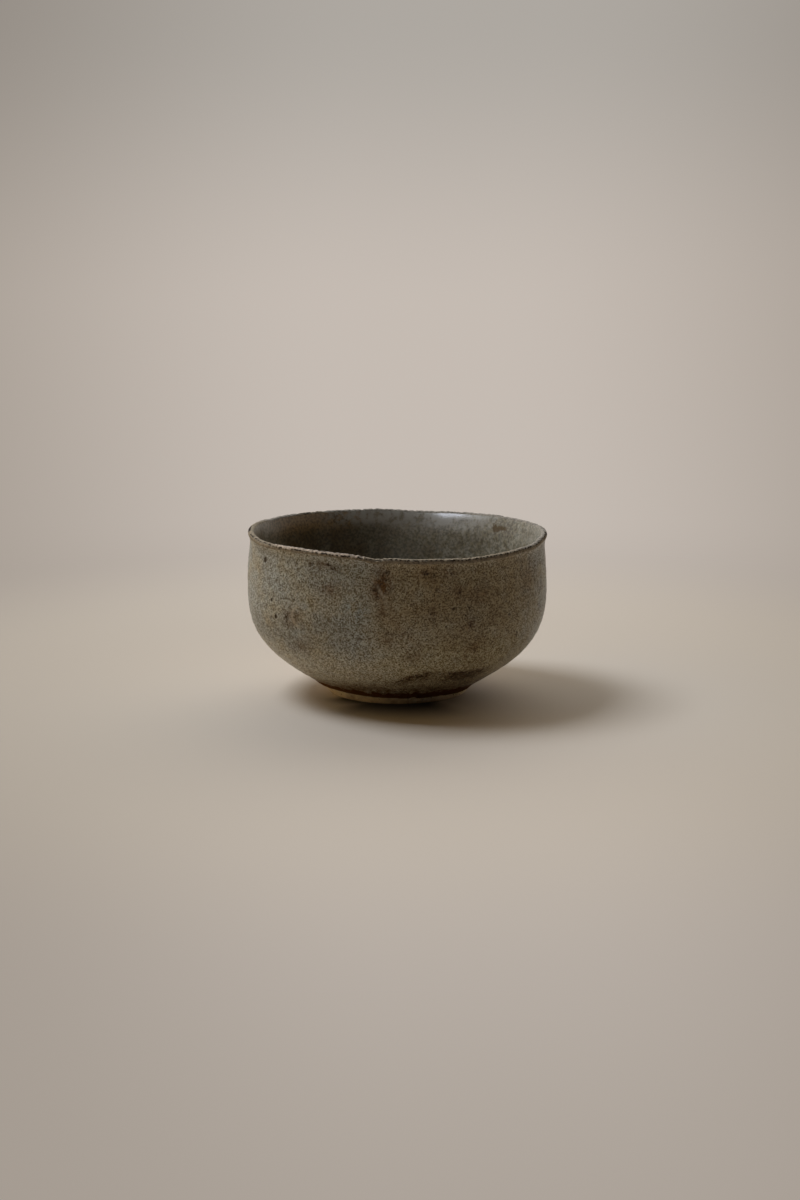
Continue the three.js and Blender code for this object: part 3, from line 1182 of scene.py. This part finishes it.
@dataclass(frozen=True)
class OuterGlaze(Piece):
    """Coat of glaze over the outside, from a ragged end above the foot to the lip.

    Depths and the sizes of the scratched ring are in millimetres. The first share of the wet face, at its
    end, has finer rows.
    """

    name = "outer_glaze_coat"
    node = "outer_glaze"
    slot = "ash_glaze"
    finish = AshGlaze()
    finish_name = "ash glaze"
    edge: GlazeEdge = GlazeEdge()
    rings: Grain = Grain(31, 10, (1, 3), (2.6, 4.2))
    ring_depth: float = 0.018
    sag: Grain = Grain(37, 40, (8, 70), (4.0, 30.0))
    sag_depth: float = 0.014
    scratch_angle: float = -128.5
    scratch_height: float = 28.9
    scratch_radius: float = 2.9
    scratch_width: float = 0.4
    scratch_strength: float = 0.6
    end_share: float = 0.022
    end_rows: int = 14
    wall_rows: int = 126
    back_rows: int = 36

    def _scratch(self, r: Array, angle: Array, z: Array) -> Array:
        """Pale scratched ring: a bell over the distance from a circle, faint on its right side.

        Args:
            r: Radius in millimetres.
            angle: Angles in radians.
            z: Height in millimetres.

        Returns:
            The amount at each point.
        """
        across = apart(angle, self.scratch_angle) * r
        off = np.hypot(across, z - self.scratch_height) - self.scratch_radius
        return self.scratch_strength * smooth_step(-across, -1.5, 2.0) * bell(off, self.scratch_width)

    def _tide(self, side: Array, z: Array) -> Array:
        """Dark tide line low on the right: a bell over the height, sharp above and soft below.

        Args:
            side: Angles in degrees.
            z: Height in millimetres.

        Returns:
            The amount at each point.
        """
        crest = 9.3 + 4.0 * smooth_step(side, -99.0, -75.0) - 1.0 * smooth_step(side, -76.0, -62.0)
        off = z - crest
        deep = np.where(off > 0.0, 1.0, 2.4 + 1.6 * smooth_step(side, -84.0, -70.0))
        gap = 1.0 - 0.6 * bell(side + 72.0, 4.5)
        return within(side, -99.0, -84.0, -52.0, -38.0) * gap * bell(off, deep)

    def _marks(self, r: Array, angle: Array, z: Array, up: Array) -> Marks:
        """Stains, and broad changes of tone made of smooth steps over the angle and the height.
        The paler tones low on the bowl and just under the lip are partly painted light.

        Args:
            r: Radius in millimetres.
            angle: Angles in radians.
            z: Height in millimetres.
            up: Length above the end of the glaze in millimetres.

        Returns:
            The marks of the wet face.
        """
        marks = stained(OUTSIDE_STAINS, r, angle, z)
        side = bearing(angle)
        front = within(side, -112.0, -76.0, -50.0, -16.0)
        brown = np.clip(front + within(side, 95.0, 125.0, 140.0, 165.0), 0.0, 1.0)
        dark_side = within(side, -96.0, -70.0, 20.0, 70.0)
        left = smooth_step(-np.cos(angle), 0.38, 0.71)
        # Paler bisque low on the bowl: partly thinner glaze, partly painted light that lifts the shaded
        # underside.
        thin = (0.66 - 0.40 * dark_side - 0.24 * left) * (1.0 - smooth_step(z, 9.0, 22.5))
        rear = 0.6 * within(side, -16.0, 25.0, 140.0, 170.0)
        ragged = self.edge.grain.at(angle * 2.0)
        band = 4.5 + within(side, -92.0, -66.0, -42.0, -15.0) + 0.5 * ragged
        scorch = 10.6 - 2.2 * left + 0.5 * ragged
        # The tan low on the bowl is likewise partly painted light on the shaded underside.
        marks["warm"] = 0.05 + 0.7 * brown + 0.3 * (1.0 - smooth_step(z, 12.0, 26.0))
        # Painted light: the glaze just under the lip is made paler to offset the shade under the flared lip.
        marks["thin"] = np.maximum(thin, 0.10 * smooth_step(z, 45.0, 47.2))
        marks["umber"] = np.maximum(0.75 * brown * smooth_step(z, 13.0, 31.0), rear)
        marks["burn"] = bell(up, np.maximum(band, 1.0), 2.2)
        tide = self._tide(side, z)
        more = {
            Tint.PALE: self._scratch(r, angle, z),
            Tint.RUST: np.maximum(0.85 * bell(up, np.maximum(scorch, 1.5), 6.0), tide),
            Tint.IRON: 0.58 * tide,
        }
        for tint, amount in more.items():
            marks[tint.value] = np.maximum(marks[tint.value], amount)
        return marks

    def skin(self) -> Skin:
        """Sweeps the wet face up from the end to the lip, and the inner face down again on the clay.

        Returns:
            The closed surface, with marks for its stains and its burnt end.
        """
        angle = turn(ANGLE_STEPS)
        curve = self.form.outside()
        start = self.edge.start(self.form, angle)
        end = np.linspace(0.0, self.end_share, self.end_rows)
        wall = np.linspace(self.end_share, 1.0, self.wall_rows)[1:]
        run = start + np.concatenate([end, wall])[:, None] * (curve.length - start)
        up = run - start
        r, z, nr, nz = curve.place(run)
        fade = smooth_step(curve.length - run, 0.5, 5.0) * smooth_step(up, 0.5, 4.0)
        relief = self.ring_depth * self.rings.at(angle, run) + self.sag_depth * self.sag.at(angle, run)
        coat = self.form.coat_at(r, z) * self.edge.thickness(up) + fade * relief
        hang = self.edge.sag(up)
        wet = self.form.shaped(r + nr * coat, angle, z + nz * coat - hang)
        back_run = start + np.linspace(1.0, 0.0, self.back_rows)[:, None] * (curve.length - start)
        back = self.form.swept(curve, back_run, angle)
        return Skin.coat(wet, back, True, self._marks(r, angle, z, up))


@dataclass(frozen=True)
class LipWash(Piece):
    """Thin dark wash over the crest of the lip, chipped and worn.

    Nicks and chips move its wet face by depths in millimetres. Wear, beads and knobs shape the edge of
    the worn crest.
    """

    name = "lip_wash_line"
    node = "lip_wash"
    slot = "iron_wash"
    finish = IronWash()
    finish_name = "iron wash"
    nicks: Grain = Grain(41, 40, (25, 190), (3.0, 9.0))
    nick_depth: float = 0.09
    chip_depth: float = 0.20
    wear: Grain = Grain(43, 16, (3, 24), (20.0, 60.0))
    beads: Grain = Grain(47, 30, (90, 260), (20.0, 60.0))
    knobs: Grain = Grain(49, 24, (30, 95), (20.0, 60.0))
    wet_rows: int = 19
    back_rows: int = 7

    def _marks(self, angle: Array, share: Array) -> Marks:
        """Worn crest between two ragged edges, and the dark line under its outer edge.

        Args:
            angle: Angles in radians.
            share: Place over the crest, from 0 outside to 1 inside.

        Returns:
            The marks of the wet face.
        """
        side = bearing(angle)
        bead = self.beads.at(angle)
        knob = self.knobs.at(angle)
        chalk = within(side, -147.0, -138.0, -106.0, -99.0)
        # At the back of the lip the worn crest runs on over the inner face in a pale layer, partly painted
        # sheen.
        far = within(side, -48.0, -28.0, 150.0, 175.0)
        brown = bell(side - 130.0, 8.0, 4.0)
        fine = bell(side + 92.0, 8.0) + 2.0 * smooth_step(np.abs(side), 140.0, 150.0)
        low = 0.42 - 0.11 * chalk + 0.04 * fine + 0.02 * self.wear.at(angle) + 0.035 * bead + 0.03 * knob
        high = 0.57 + 0.03 * self.knobs.at(angle + 1.0) + 0.50 * far * (1.0 - brown)
        worn = smooth_step(share - low, -0.03, 0.04) * (1.0 - smooth_step(share - high, -0.03, 0.05))
        dash = smooth_step(bead + 0.7 * knob, -0.5, 0.4)
        line = bell(share - low + 0.085, 0.075) * (0.1 + dash)
        ridge = within(side, -150.0, -140.0, -104.0, -94.0) * within(share, 0.56, 0.60, 0.70, 0.80)
        burnt = 0.4 * brown * smooth_step(share, 0.50, 0.60)
        tips = bell(side + 3.0, 2.0) + bell(np.abs(side) - 178.0, 3.4)
        tips = tips * within(share, 0.06, 0.18, 0.54, 0.68)
        dark = np.clip(np.maximum.reduce([line, ridge, burnt, tips]), 0.0, 1.0)
        return {"worn": worn * (1.0 - tips), "chalk": chalk, "film_and_sheen": far, "line": dark}

    def skin(self) -> Skin:
        """Sweeps the wet face over the crest and the inner face back under it, the wet one lowered by nicks.

        Returns:
            The closed surface, with marks for wear and for the dark line.
        """
        angle = turn(FINE_ANGLE_STEPS)
        curve = self.form.crest()
        share = np.linspace(0.0, 1.0, self.wet_rows)[:, None]
        rough = self.nicks.at(angle, share * curve.length)
        nick = self.nick_depth * rough - self.chip_depth * np.maximum(rough - 1.0, 0.0)
        push = self.form.lip_coat + np.sin(np.pi * share) * nick
        wet = self.form.swept(curve, share * curve.length, angle, push)
        under = np.linspace(1.0, 0.0, self.back_rows)[:, None]
        sunk = -self.form.lip_sink * np.sin(np.pi * under)
        back = self.form.swept(curve, under * curve.length, angle, sunk)
        return Skin.coat(wet, back, True, self._marks(angle, share))


INSIDE_STAINS: Stains = {
    Tint.IRON: (
        Stain(44.4, 45.6, 0.7, 1.6, 0.9), Stain(41.8, 45.1, 1.4, 1.2, 1.0),
        Stain(38.2, 45.2, 2.0, 0.5, 1.0), Stain(43.2, 44.2, 1.3, 0.5, 1.0),
        Stain(118.0, 46.0, 5.0, 2.0, 0.5), Stain(140.0, 38.0, 4.0, 4.0, 0.35),
        Stain(230.0, 40.0, 4.0, 4.0, 0.5), Stain(300.0, 36.0, 5.0, 4.0, 0.45),
    ),
    Tint.FROST: (
        Stain(55.0, 42.0, 7.0, 4.0, 0.20), Stain(15.0, 44.0, 6.0, 4.0, 0.25),
        Stain(270.0, 34.0, 9.0, 6.0, 0.25),
    ),
}


@dataclass(frozen=True)
class InnerGlaze(Piece):
    """Coat of glaze over the inside, from the lip to a pool on the floor of the well.

    Depths are in millimetres.
    """

    name = "inner_glaze_coat"
    node = "inner_glaze"
    slot = "well_glaze"
    finish = WellGlaze()
    finish_name = "well glaze"
    rings: Grain = Grain(53, 10, (1, 1), (4.2, 6.5))
    ring_depth: float = 0.018
    sag: Grain = Grain(59, 40, (6, 50), (5.0, 30.0))
    sag_depth: float = 0.015
    wet_rows: int = 128
    back_rows: int = 44

    def _marks(self, r: Array, angle: Array, z: Array) -> Marks:
        """Stains, and broad changes of tone made of smooth steps over the angle, the radius and the height.

        Args:
            r: Radius in millimetres.
            angle: Angles in radians.
            z: Height in millimetres.

        Returns:
            The marks of the wet face.
        """
        marks = stained(INSIDE_STAINS, r, angle, z)
        side = bearing(angle)
        # Brown on the inside's left: partly browner glaze, partly painted shade where the cup's own wall
        # shades it.
        warm = 0.9 * smooth_step(side, 68.0, 116.0) + 0.9 * (1.0 - smooth_step(side, -160.0, -80.0))
        warm = np.clip(warm - 0.5 * smooth_step(np.abs(side), 138.0, 165.0), 0.0, 0.9)
        warm = warm * smooth_step(r, 6.0, 26.0)
        burnt = within(side, 100.0, 116.0, 140.0, 165.0)
        pool = 0.35 * (1.0 - smooth_step(r, 4.0, 20.0)) * (z < self.form.belly_height)
        # Pale misty band along the top of the back wall, partly painted sheen of the flared lip.
        rim = smooth_step(z, 42.2, 46.6) * within(side, 35.0, 60.0, 112.0, 130.0)
        marks["warm"] = warm
        marks["dry"] = warm * (1.0 - smooth_step(z, 43.0, 47.0) * (1.0 - 0.5 * burnt))
        marks[Tint.RUST.value] = 0.85 * burnt * smooth_step(z, 41.5, 45.5)
        marks[Tint.FROST.value] = np.maximum(marks[Tint.FROST.value], np.maximum(pool, rim))
        return marks

    def skin(self) -> Skin:
        """Sweeps the inner face up from the middle of the floor on the clay, then the wet face down.

        Returns:
            The closed surface, with marks for its stains.
        """
        angle = turn(ANGLE_STEPS)
        curve = self.form.inside()
        back_run = np.linspace(1.0, 0.0, self.back_rows)[:, None] * curve.length
        run = np.linspace(0.0, 1.0, self.wet_rows)[:, None] * curve.length
        r, z, _, _ = curve.place(run)
        fade = smooth_step(run, 0.5, 5.0) * smooth_step(r, 2.0, 12.0)
        relief = self.ring_depth * self.rings.at(angle, run) + self.sag_depth * self.sag.at(angle, run)
        wet = self.form.swept(curve, run, angle, self.form.coat_at(r, z) + fade * relief)
        back = self.form.swept(curve, back_run, angle)
        return Skin.coat(wet, back, False, self._marks(r, angle, z))


@dataclass(frozen=True)
class FootRing(Piece):
    """Turned foot, a low ring of bare clay with soft edges and a flat face to stand on.

    Lengths are in millimetres. Splay and bend place the recess side's upper handle, and heel the outer
    side's two handles. Its rows are those of the recess side, the face, the outer side and the seat.
    """

    name = "turned_foot"
    node = "foot_ring"
    slot = "bare_foot"
    finish = BareClay()
    finish_name = "bare foot clay"
    grit: Grain = Grain(61, 60, (20, 150), (0.8, 3.0))
    grit_depth: float = 0.05
    splay: float = 0.25
    bend: float = 0.55
    heel_lift: float = 0.05
    heel_flare: float = 0.2
    heel_rise: float = 0.4
    toasted: float = 0.15
    painted_left_shade: float = 0.2
    rows: tuple[int, ...] = (14, 12, 18, 4)

    def skin(self) -> Skin:
        """Sweeps the ring's section: down the recess side, out over the face, up, and in along its seat.

        Returns:
            The closed surface, with a mark where the fire has toasted it and where shade is painted on its
            left side.
        """
        form = self.form
        angle = turn(ANGLE_STEPS)
        inner = form.foot_radius - form.foot_width
        bevel = form.foot_bevel
        inside = bezier(
            (form.recess_radius, form.neck_height),
            (form.recess_radius + self.splay, form.neck_height * self.bend),
            (inner - bevel, bevel),
            (inner, 0.0),
        )
        face = straight((inner, 0.0), (form.foot_radius, 0.0))
        side = bezier(
            (form.foot_radius, 0.0),
            (form.foot_radius + bevel, self.heel_lift),
            (form.foot_radius + bevel + self.heel_flare, bevel + self.heel_rise),
            (form.neck_radius, form.neck_height),
        )
        seat = straight((form.neck_radius, form.neck_height), (form.recess_radius, form.neck_height))
        curve, _, run = joined((inside, face, side, seat), self.rows)
        r, z, _, _ = curve.place(run)
        bare = within(z, 0.05, 0.6, 2.0, 2.55)
        points = form.swept(curve, run, angle, bare * self.grit_depth * self.grit.at(angle, run))
        points[..., 2] = np.maximum(points[..., 2], 0.0)
        toast = self.toasted * smooth_step(z, 1.6, 2.6) * (r > form.foot_radius)
        # Painted shade: the foot's colour is darkened on its left side, where the light reaches it, and
        # carried in the toast mark.
        left_shade = self.painted_left_shade * smooth_step(-np.cos(angle), 0.40, 0.75)
        return Skin(points, True, {"toast": np.maximum(toast, left_shade)})


@dataclass(frozen=True)
class ClayWall(Piece):
    """Thrown body of clay under the coats, bare in the recess and in the band above the foot.

    Its rows are those of the recess, the seat, the outside, the crest and the inside.
    """

    name = "thrown_clay_wall"
    node = "clay_wall"
    slot = "stoneware"
    finish = BareClay()
    finish_name = "stoneware clay"
    spiral: Grain = Grain(71, 6, (1, 1), (3.0, 5.0))
    spiral_depth: float = 0.07
    spiral_fade: float = 1.5
    toasted: float = 0.7
    rows: tuple[int, ...] = (26, 6, 60, 12, 40)

    def skin(self) -> Skin:
        """Sweeps from the middle of the recess out to the neck, up the outside, over the lip and down.

        Returns:
            The closed surface, with a mark where the fire has toasted it.
        """
        form = self.form
        angle = turn(ANGLE_STEPS)
        crown = form.neck_height + form.recess_crown
        half = form.recess_radius / 2.0
        recess = bezier(
            (0.0, crown),
            (half * 2.0 / 3.0, crown),
            (half + (form.recess_radius - half) / 3.0, crown - form.recess_crown / 3.0),
            (form.recess_radius, form.neck_height),
        )
        seat = straight((form.recess_radius, form.neck_height), (form.neck_radius, form.neck_height))
        curve, ends, run = joined((recess, seat, form.outside(), form.crest(), form.inside()), self.rows)
        run = np.concatenate([run, ends[-1:, None]])
        r = curve.place(run)[0]
        under = within(r, 1.0, 4.0, form.recess_radius - self.spiral_fade, form.recess_radius)
        under = under * (run < ends[1])
        over = np.clip((run - ends[3]) / (ends[4] - ends[3]), 0.0, 1.0)
        push = self.spiral_depth * self.spiral.at(angle, run) * under - form.lip_sink * np.sin(np.pi * over)
        toast = self.toasted * ((run > ends[2]) & (run < ends[3]))
        return Skin(form.swept(curve, run, angle, push), False, {"toast": toast})


@dataclass(frozen=True)
class Paper(Finish):
    """Matt beige paper that takes the shadow near the cup and keeps a plain soft tone further off.

    Warm and bright are the floor's dim and brightest parts, a falloff of the light painted into its colour,
    and grey and dim the top of the backdrop and its painted darker sides. Painted contact is the share of
    colour left in the painted shade right at the foot, and bounced the share of that shade which bounced
    light meets.
    """

    warm: Colour = (0.385, 0.337, 0.292)
    bright: Colour = (0.571, 0.508, 0.456)
    grey: Colour = (0.420, 0.390, 0.355)
    dim: Colour = (0.285, 0.253, 0.222)
    painted_contact: float = 0.08
    bounced: float = 0.3
    rough: float = 0.95
    shine: float = 0.1

    def _aside(self, on: Bench, x: Socket, y: Socket, z: Socket) -> Socket:
        """How far a place lies to the side of the camera's middle line, or in front of the cup.

        Args:
            on: The material's nodes.
            x: Place to the right in metres.
            y: Place to the back in metres.
            z: Height in metres.

        Returns:
            The amount, from 0 in the middle to 1 at the sides, by which the colour is painted dimmer.
        """
        ahead = on.calc("ADD", on.most(y, -0.35), 0.69)
        middle = on.calc("MULTIPLY_ADD", on.most(z, 0.0), 0.2, 0.015)
        aside = on.calc("DIVIDE", on.calc("ABSOLUTE", on.calc("SUBTRACT", x, middle)), ahead)
        return on.most(on.span(aside, 0.03, 0.26), on.span(y, -0.7, -1.4))

    def _painted_shade(self, on: Bench, x: Socket, y: Socket, radius: Socket) -> Socket:
        """Painted deep shade on the floor at the foot's front and left: products of spans over direction
        and radius.

        Args:
            on: The material's nodes.
            x: Place to the right in metres.
            y: Place to the back in metres.
            radius: Distance from the cup's middle in metres.

        Returns:
            The amount of painted shade.
        """
        facing = on.calc("DIVIDE", y, radius)
        across = on.calc("DIVIDE", x, radius)
        front = on.times(on.span(facing, -0.78, -0.93), on.span(radius, 0.044, 0.021))
        left = on.times(on.span(facing, -0.46, -0.68), on.span(across, -0.15, -0.45))
        left = on.times(left, on.span(radius, 0.029, 0.0205))
        return on.times(on.most(front, left), on.span(radius, 0.012, 0.018))

    def shader(self, on: Bench) -> Socket:
        """Matt surface near the cup, and the plain glow of its own colour for what is seen further off.

        Args:
            on: The material's nodes.

        Returns:
            The mixed shader.
        """
        split = on.node("ShaderNodeSeparateXYZ", {"Vector": on.place()}).outputs
        x, y, z = split["X"], split["Y"], split["Z"]
        radius = on.node("ShaderNodeVectorMath", {0: on.place()}, operation="LENGTH").outputs["Value"]
        path = on.node("ShaderNodeLightPath", {}).outputs
        # Painted falloff of the light: the colour is brighter towards the back and dimmer well in front and
        # to the sides, on the backdrop too.
        front = on.calc("SUBTRACT", on.span(y, -0.46, -0.12, 0.0, 0.64), on.span(y, -0.06, 0.06, 0.0, 0.10))
        depth = on.calc("ADD", front, on.span(y, 0.07, 0.34, 0.0, 0.46))
        side = self._aside(on, x, y, z)
        colour = on.tint(on.times(depth, on.calc("SUBTRACT", 1.0, side)), self.warm, self.bright)
        # Painted shade: the floor's colour is darkened at the foot, fully for the camera and partly for
        # bounced light.
        shade = on.times(self._painted_shade(on, x, y, radius), on.most(path["Is Camera Ray"], self.bounced))
        colour = on.tint(shade, colour, on.shaded(colour, (self.painted_contact,) * 3))
        colour = on.tint(on.span(z, -0.08, 0.36), colour, on.tint(side, self.grey, self.dim))
        feeds: Feeds = {"Base Color": colour, "Roughness": self.rough, "Specular IOR Level": self.shine}
        matt = on.node("ShaderNodeBsdfPrincipled", feeds).outputs["BSDF"]
        glow = on.node("ShaderNodeEmission", {"Color": colour, "Strength": 1.0}).outputs["Emission"]
        seen = on.most(on.most(path["Is Camera Ray"], path["Is Glossy Ray"]), path["Is Transmission Ray"])
        share = on.times(on.span(radius, 0.13, 0.26), seen)
        return on.node("ShaderNodeMixShader", {0: share, 1: matt, 2: glow}).outputs["Shader"]


@dataclass(frozen=True)
class Stage:
    """Plain floor that sweeps up into a round backdrop.

    Lengths are in metres. Rings are the radii of the floor's rings, and drop is how far the floor lies
    under the cup.
    """

    paper: Paper = Paper()
    rings: tuple[float, ...] = (0.0001, 0.06, 0.15, 0.3, 0.6, 1.0, 1.8)
    sweep_radius: float = 1.2
    sweep_rows: int = 25
    wall_height: float = 3.0
    drop: float = 0.00003

    def _revolved(self, name: str, radii: Array, heights: Array) -> bpy.types.Object:
        """Sweeps a profile once round.

        Args:
            name: Name of the object.
            radii: Radii of the profile in metres.
            heights: Heights of the profile in metres.

        Returns:
            The object.
        """
        angle = np.linspace(0.0, 2.0 * np.pi, STAGE_ANGLE_STEPS, endpoint=False)
        x = radii[:, None] * np.cos(angle)
        y = radii[:, None] * np.sin(angle)
        places = np.stack([x, y, heights[:, None] + 0.0 * x], axis=-1).reshape(-1, 3)
        here = np.arange(STAGE_ANGLE_STEPS)
        there = np.roll(here, -1)
        low = (np.arange(len(radii) - 1) * STAGE_ANGLE_STEPS)[:, None]
        high = low + STAGE_ANGLE_STEPS
        faces = np.stack([low + here, high + here, high + there, low + there], axis=-1).reshape(-1, 4)
        mesh = bpy.data.meshes.new(name)
        mesh.from_pydata(places.tolist(), [], faces.tolist())
        mesh.polygons.foreach_set("use_smooth", np.ones(len(faces), dtype=bool))
        made = bpy.data.objects.new(name, mesh)
        bpy.context.scene.collection.objects.link(made)
        return made

    def build(self) -> list[bpy.types.Object]:
        """Makes the floor and the backdrop.

        Returns:
            The two objects.
        """
        paper = self.paper.material("beige paper")
        floor = self._revolved("floor", np.array(self.rings), np.full(len(self.rings), -self.drop))
        rise = np.linspace(0.0, np.pi / 2, self.sweep_rows)
        sweep_r = self.rings[-1] + self.sweep_radius * np.sin(rise)
        sweep_z = self.sweep_radius * (1.0 - np.cos(rise)) - self.drop
        sweep_r = np.append(sweep_r, sweep_r[-1])
        sweep_z = np.append(sweep_z, self.wall_height)
        backdrop = self._revolved("backdrop", sweep_r, sweep_z)
        backdrop.visible_diffuse = False
        backdrop.visible_shadow = False
        for made in (floor, backdrop):
            made.data.materials.append(paper)
        return [floor, backdrop]


@dataclass(frozen=True)
class Lamp:
    """One soft square light, turned to the cup.

    Lengths are in metres and power in watts. A mirrored lamp shows only in shiny faces.
    """

    name: str
    towards: Direction
    distance: float
    size: float
    power: float
    colour: Colour
    mirrored: bool = False
    aim_height: float = 0.02

    def build(self) -> None:
        """Makes the light and turns it to the cup."""
        data = bpy.data.lights.new(self.name, "AREA")
        data.shape = "SQUARE"
        data.size = self.size
        data.energy = self.power
        data.color = self.colour
        made = bpy.data.objects.new(self.name, data)
        way = Vector(self.towards).normalized()
        made.location = way * self.distance + Vector((0.0, 0.0, self.aim_height))
        made.rotation_euler = way.to_track_quat("Z", "Y").to_euler()
        made.visible_camera = False
        made.visible_diffuse = not self.mirrored
        bpy.context.scene.collection.objects.link(made)


@dataclass(frozen=True)
class Glow:
    """One broad soft patch of room light, full at its middle and gone where the cosine falls to end."""

    towards: Direction
    strength: float
    colour: Colour
    end: float = 0.5


@dataclass(frozen=True)
class Studio:
    """Soft daylight from the left and behind, a room lit by its backdrop, and a cool window in the shine.

    Seen is the colour of the room where the camera sees it.
    """

    key: Lamp = Lamp("key light", (-0.498, 0.222, 0.839), 2.6, 1.1, 54.0, (0.83, 0.916, 1.0))
    glows: tuple[Glow, ...] = (
        Glow((0.0, 0.978, 0.208), 2.60, (1.0, 0.992, 0.928)),
        Glow((0.629, 0.749, 0.208), 0.60, (1.0, 0.69, 0.35)),
        Glow((-0.963, 0.170, 0.208), 0.97, (1.0, 0.66, 0.23)),
    )
    shine: tuple[Lamp, ...] = (
        Lamp("broad shine", (-0.602, -0.347, 0.719), 1.6, 1.2, 6.0, (0.92, 0.97, 1.0), True),
        Lamp("window shine", (-0.579, -0.579, 0.574), 1.5, 0.28, 2.2, (0.80, 0.85, 1.0), True),
        Lamp("side window shine", (-0.690, -0.440, 0.574), 1.5, 0.22, 1.4, (0.80, 0.85, 1.0), True),
    )
    seen: Colour = (0.43, 0.395, 0.36)

    def _room(self) -> bpy.types.World:
        """Sums the room's glows, each a span over the cosine from its middle.

        Returns:
            The world, with a plain backdrop for the camera.
        """
        world = bpy.data.worlds.new("room")
        world.use_nodes = True
        on = Bench(world.node_tree)
        way = on.node("ShaderNodeTexCoord", {}).outputs["Generated"]
        total = on.node("ShaderNodeBackground", {"Strength": 0.0}).outputs["Background"]
        for glow in self.glows:
            feeds: Feeds = {0: way, 1: Vector(glow.towards).normalized()}
            facing = on.node("ShaderNodeVectorMath", feeds, operation="DOT_PRODUCT").outputs["Value"]
            feeds = {"Color": glow.colour, "Strength": on.span(facing, glow.end, 1.0, 0.0, glow.strength)}
            patch = on.node("ShaderNodeBackground", feeds).outputs["Background"]
            total = on.node("ShaderNodeAddShader", {0: total, 1: patch}).outputs["Shader"]
        camera = on.node("ShaderNodeLightPath", {}).outputs["Is Camera Ray"]
        plain = on.node("ShaderNodeBackground", {"Color": self.seen}).outputs["Background"]
        mixed = on.node("ShaderNodeMixShader", {0: camera, 1: total, 2: plain}).outputs["Shader"]
        on.node("ShaderNodeOutputWorld", {"Surface": mixed})
        return world

    def build(self) -> None:
        """Makes the lights and the room."""
        for lamp in (self.key, *self.shine):
            lamp.build()
        bpy.context.scene.world = self._room()


@dataclass(frozen=True)
class Viewpoint:
    """Camera that sees the cup from a little above.

    Lengths are in metres, but for the lens and the long side of the sensor, in millimetres.
    """

    aim: Direction = (0.00081, 0.0, 0.02746)
    distance: float = 0.7
    elevation: float = 11.0
    lens: float = 69.06
    sensor: float = 36.0
    nearest: float = 0.01
    farthest: float = 50.0

    def build(self) -> None:
        """Makes the camera and looks through it."""
        data = bpy.data.cameras.new("view")
        data.sensor_width = self.sensor
        data.sensor_fit = "AUTO"
        data.lens = self.lens
        data.clip_start = self.nearest
        data.clip_end = self.farthest
        made = bpy.data.objects.new("view", data)
        tilt = math.radians(self.elevation)
        back = Vector((0.0, -math.cos(tilt), math.sin(tilt)))
        made.location = Vector(self.aim) + back * self.distance
        made.rotation_euler = (math.pi / 2 - tilt, 0.0, 0.0)
        bpy.context.scene.collection.objects.link(made)
        bpy.context.scene.camera = made


@dataclass(frozen=True)
class TeaCup:
    """The whole cup: the form that its pieces share, and its five pieces from the clay outwards."""

    form: WheelForm = WheelForm()
    kinds: tuple[type[Piece], ...] = (ClayWall, FootRing, OuterGlaze, LipWash, InnerGlaze)

    def build(self) -> None:
        """Builds and reports every piece."""
        for kind in self.kinds:
            made = kind(self.form).build()
            made.data.calc_loop_triangles()
            size = [round(MM_PER_METRE * side, 1) for side in made.dimensions]
            count = len(made.data.loop_triangles)
            LOG.info("%s for %s: %d triangles, %s mm", made.name, kind.node, count, size)


def main() -> None:
    """Builds the cup, its stage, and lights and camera."""
    scene = bpy.context.scene
    scene.view_settings.view_transform = "Standard"
    TeaCup().build()
    for made in Stage().build():
        LOG.info("%s stands on the stage", made.name)
    Studio().build()
    Viewpoint().build()


if __name__ == "__main__":
    logging.basicConfig(level=logging.INFO, format="%(name)s: %(message)s")
    main()
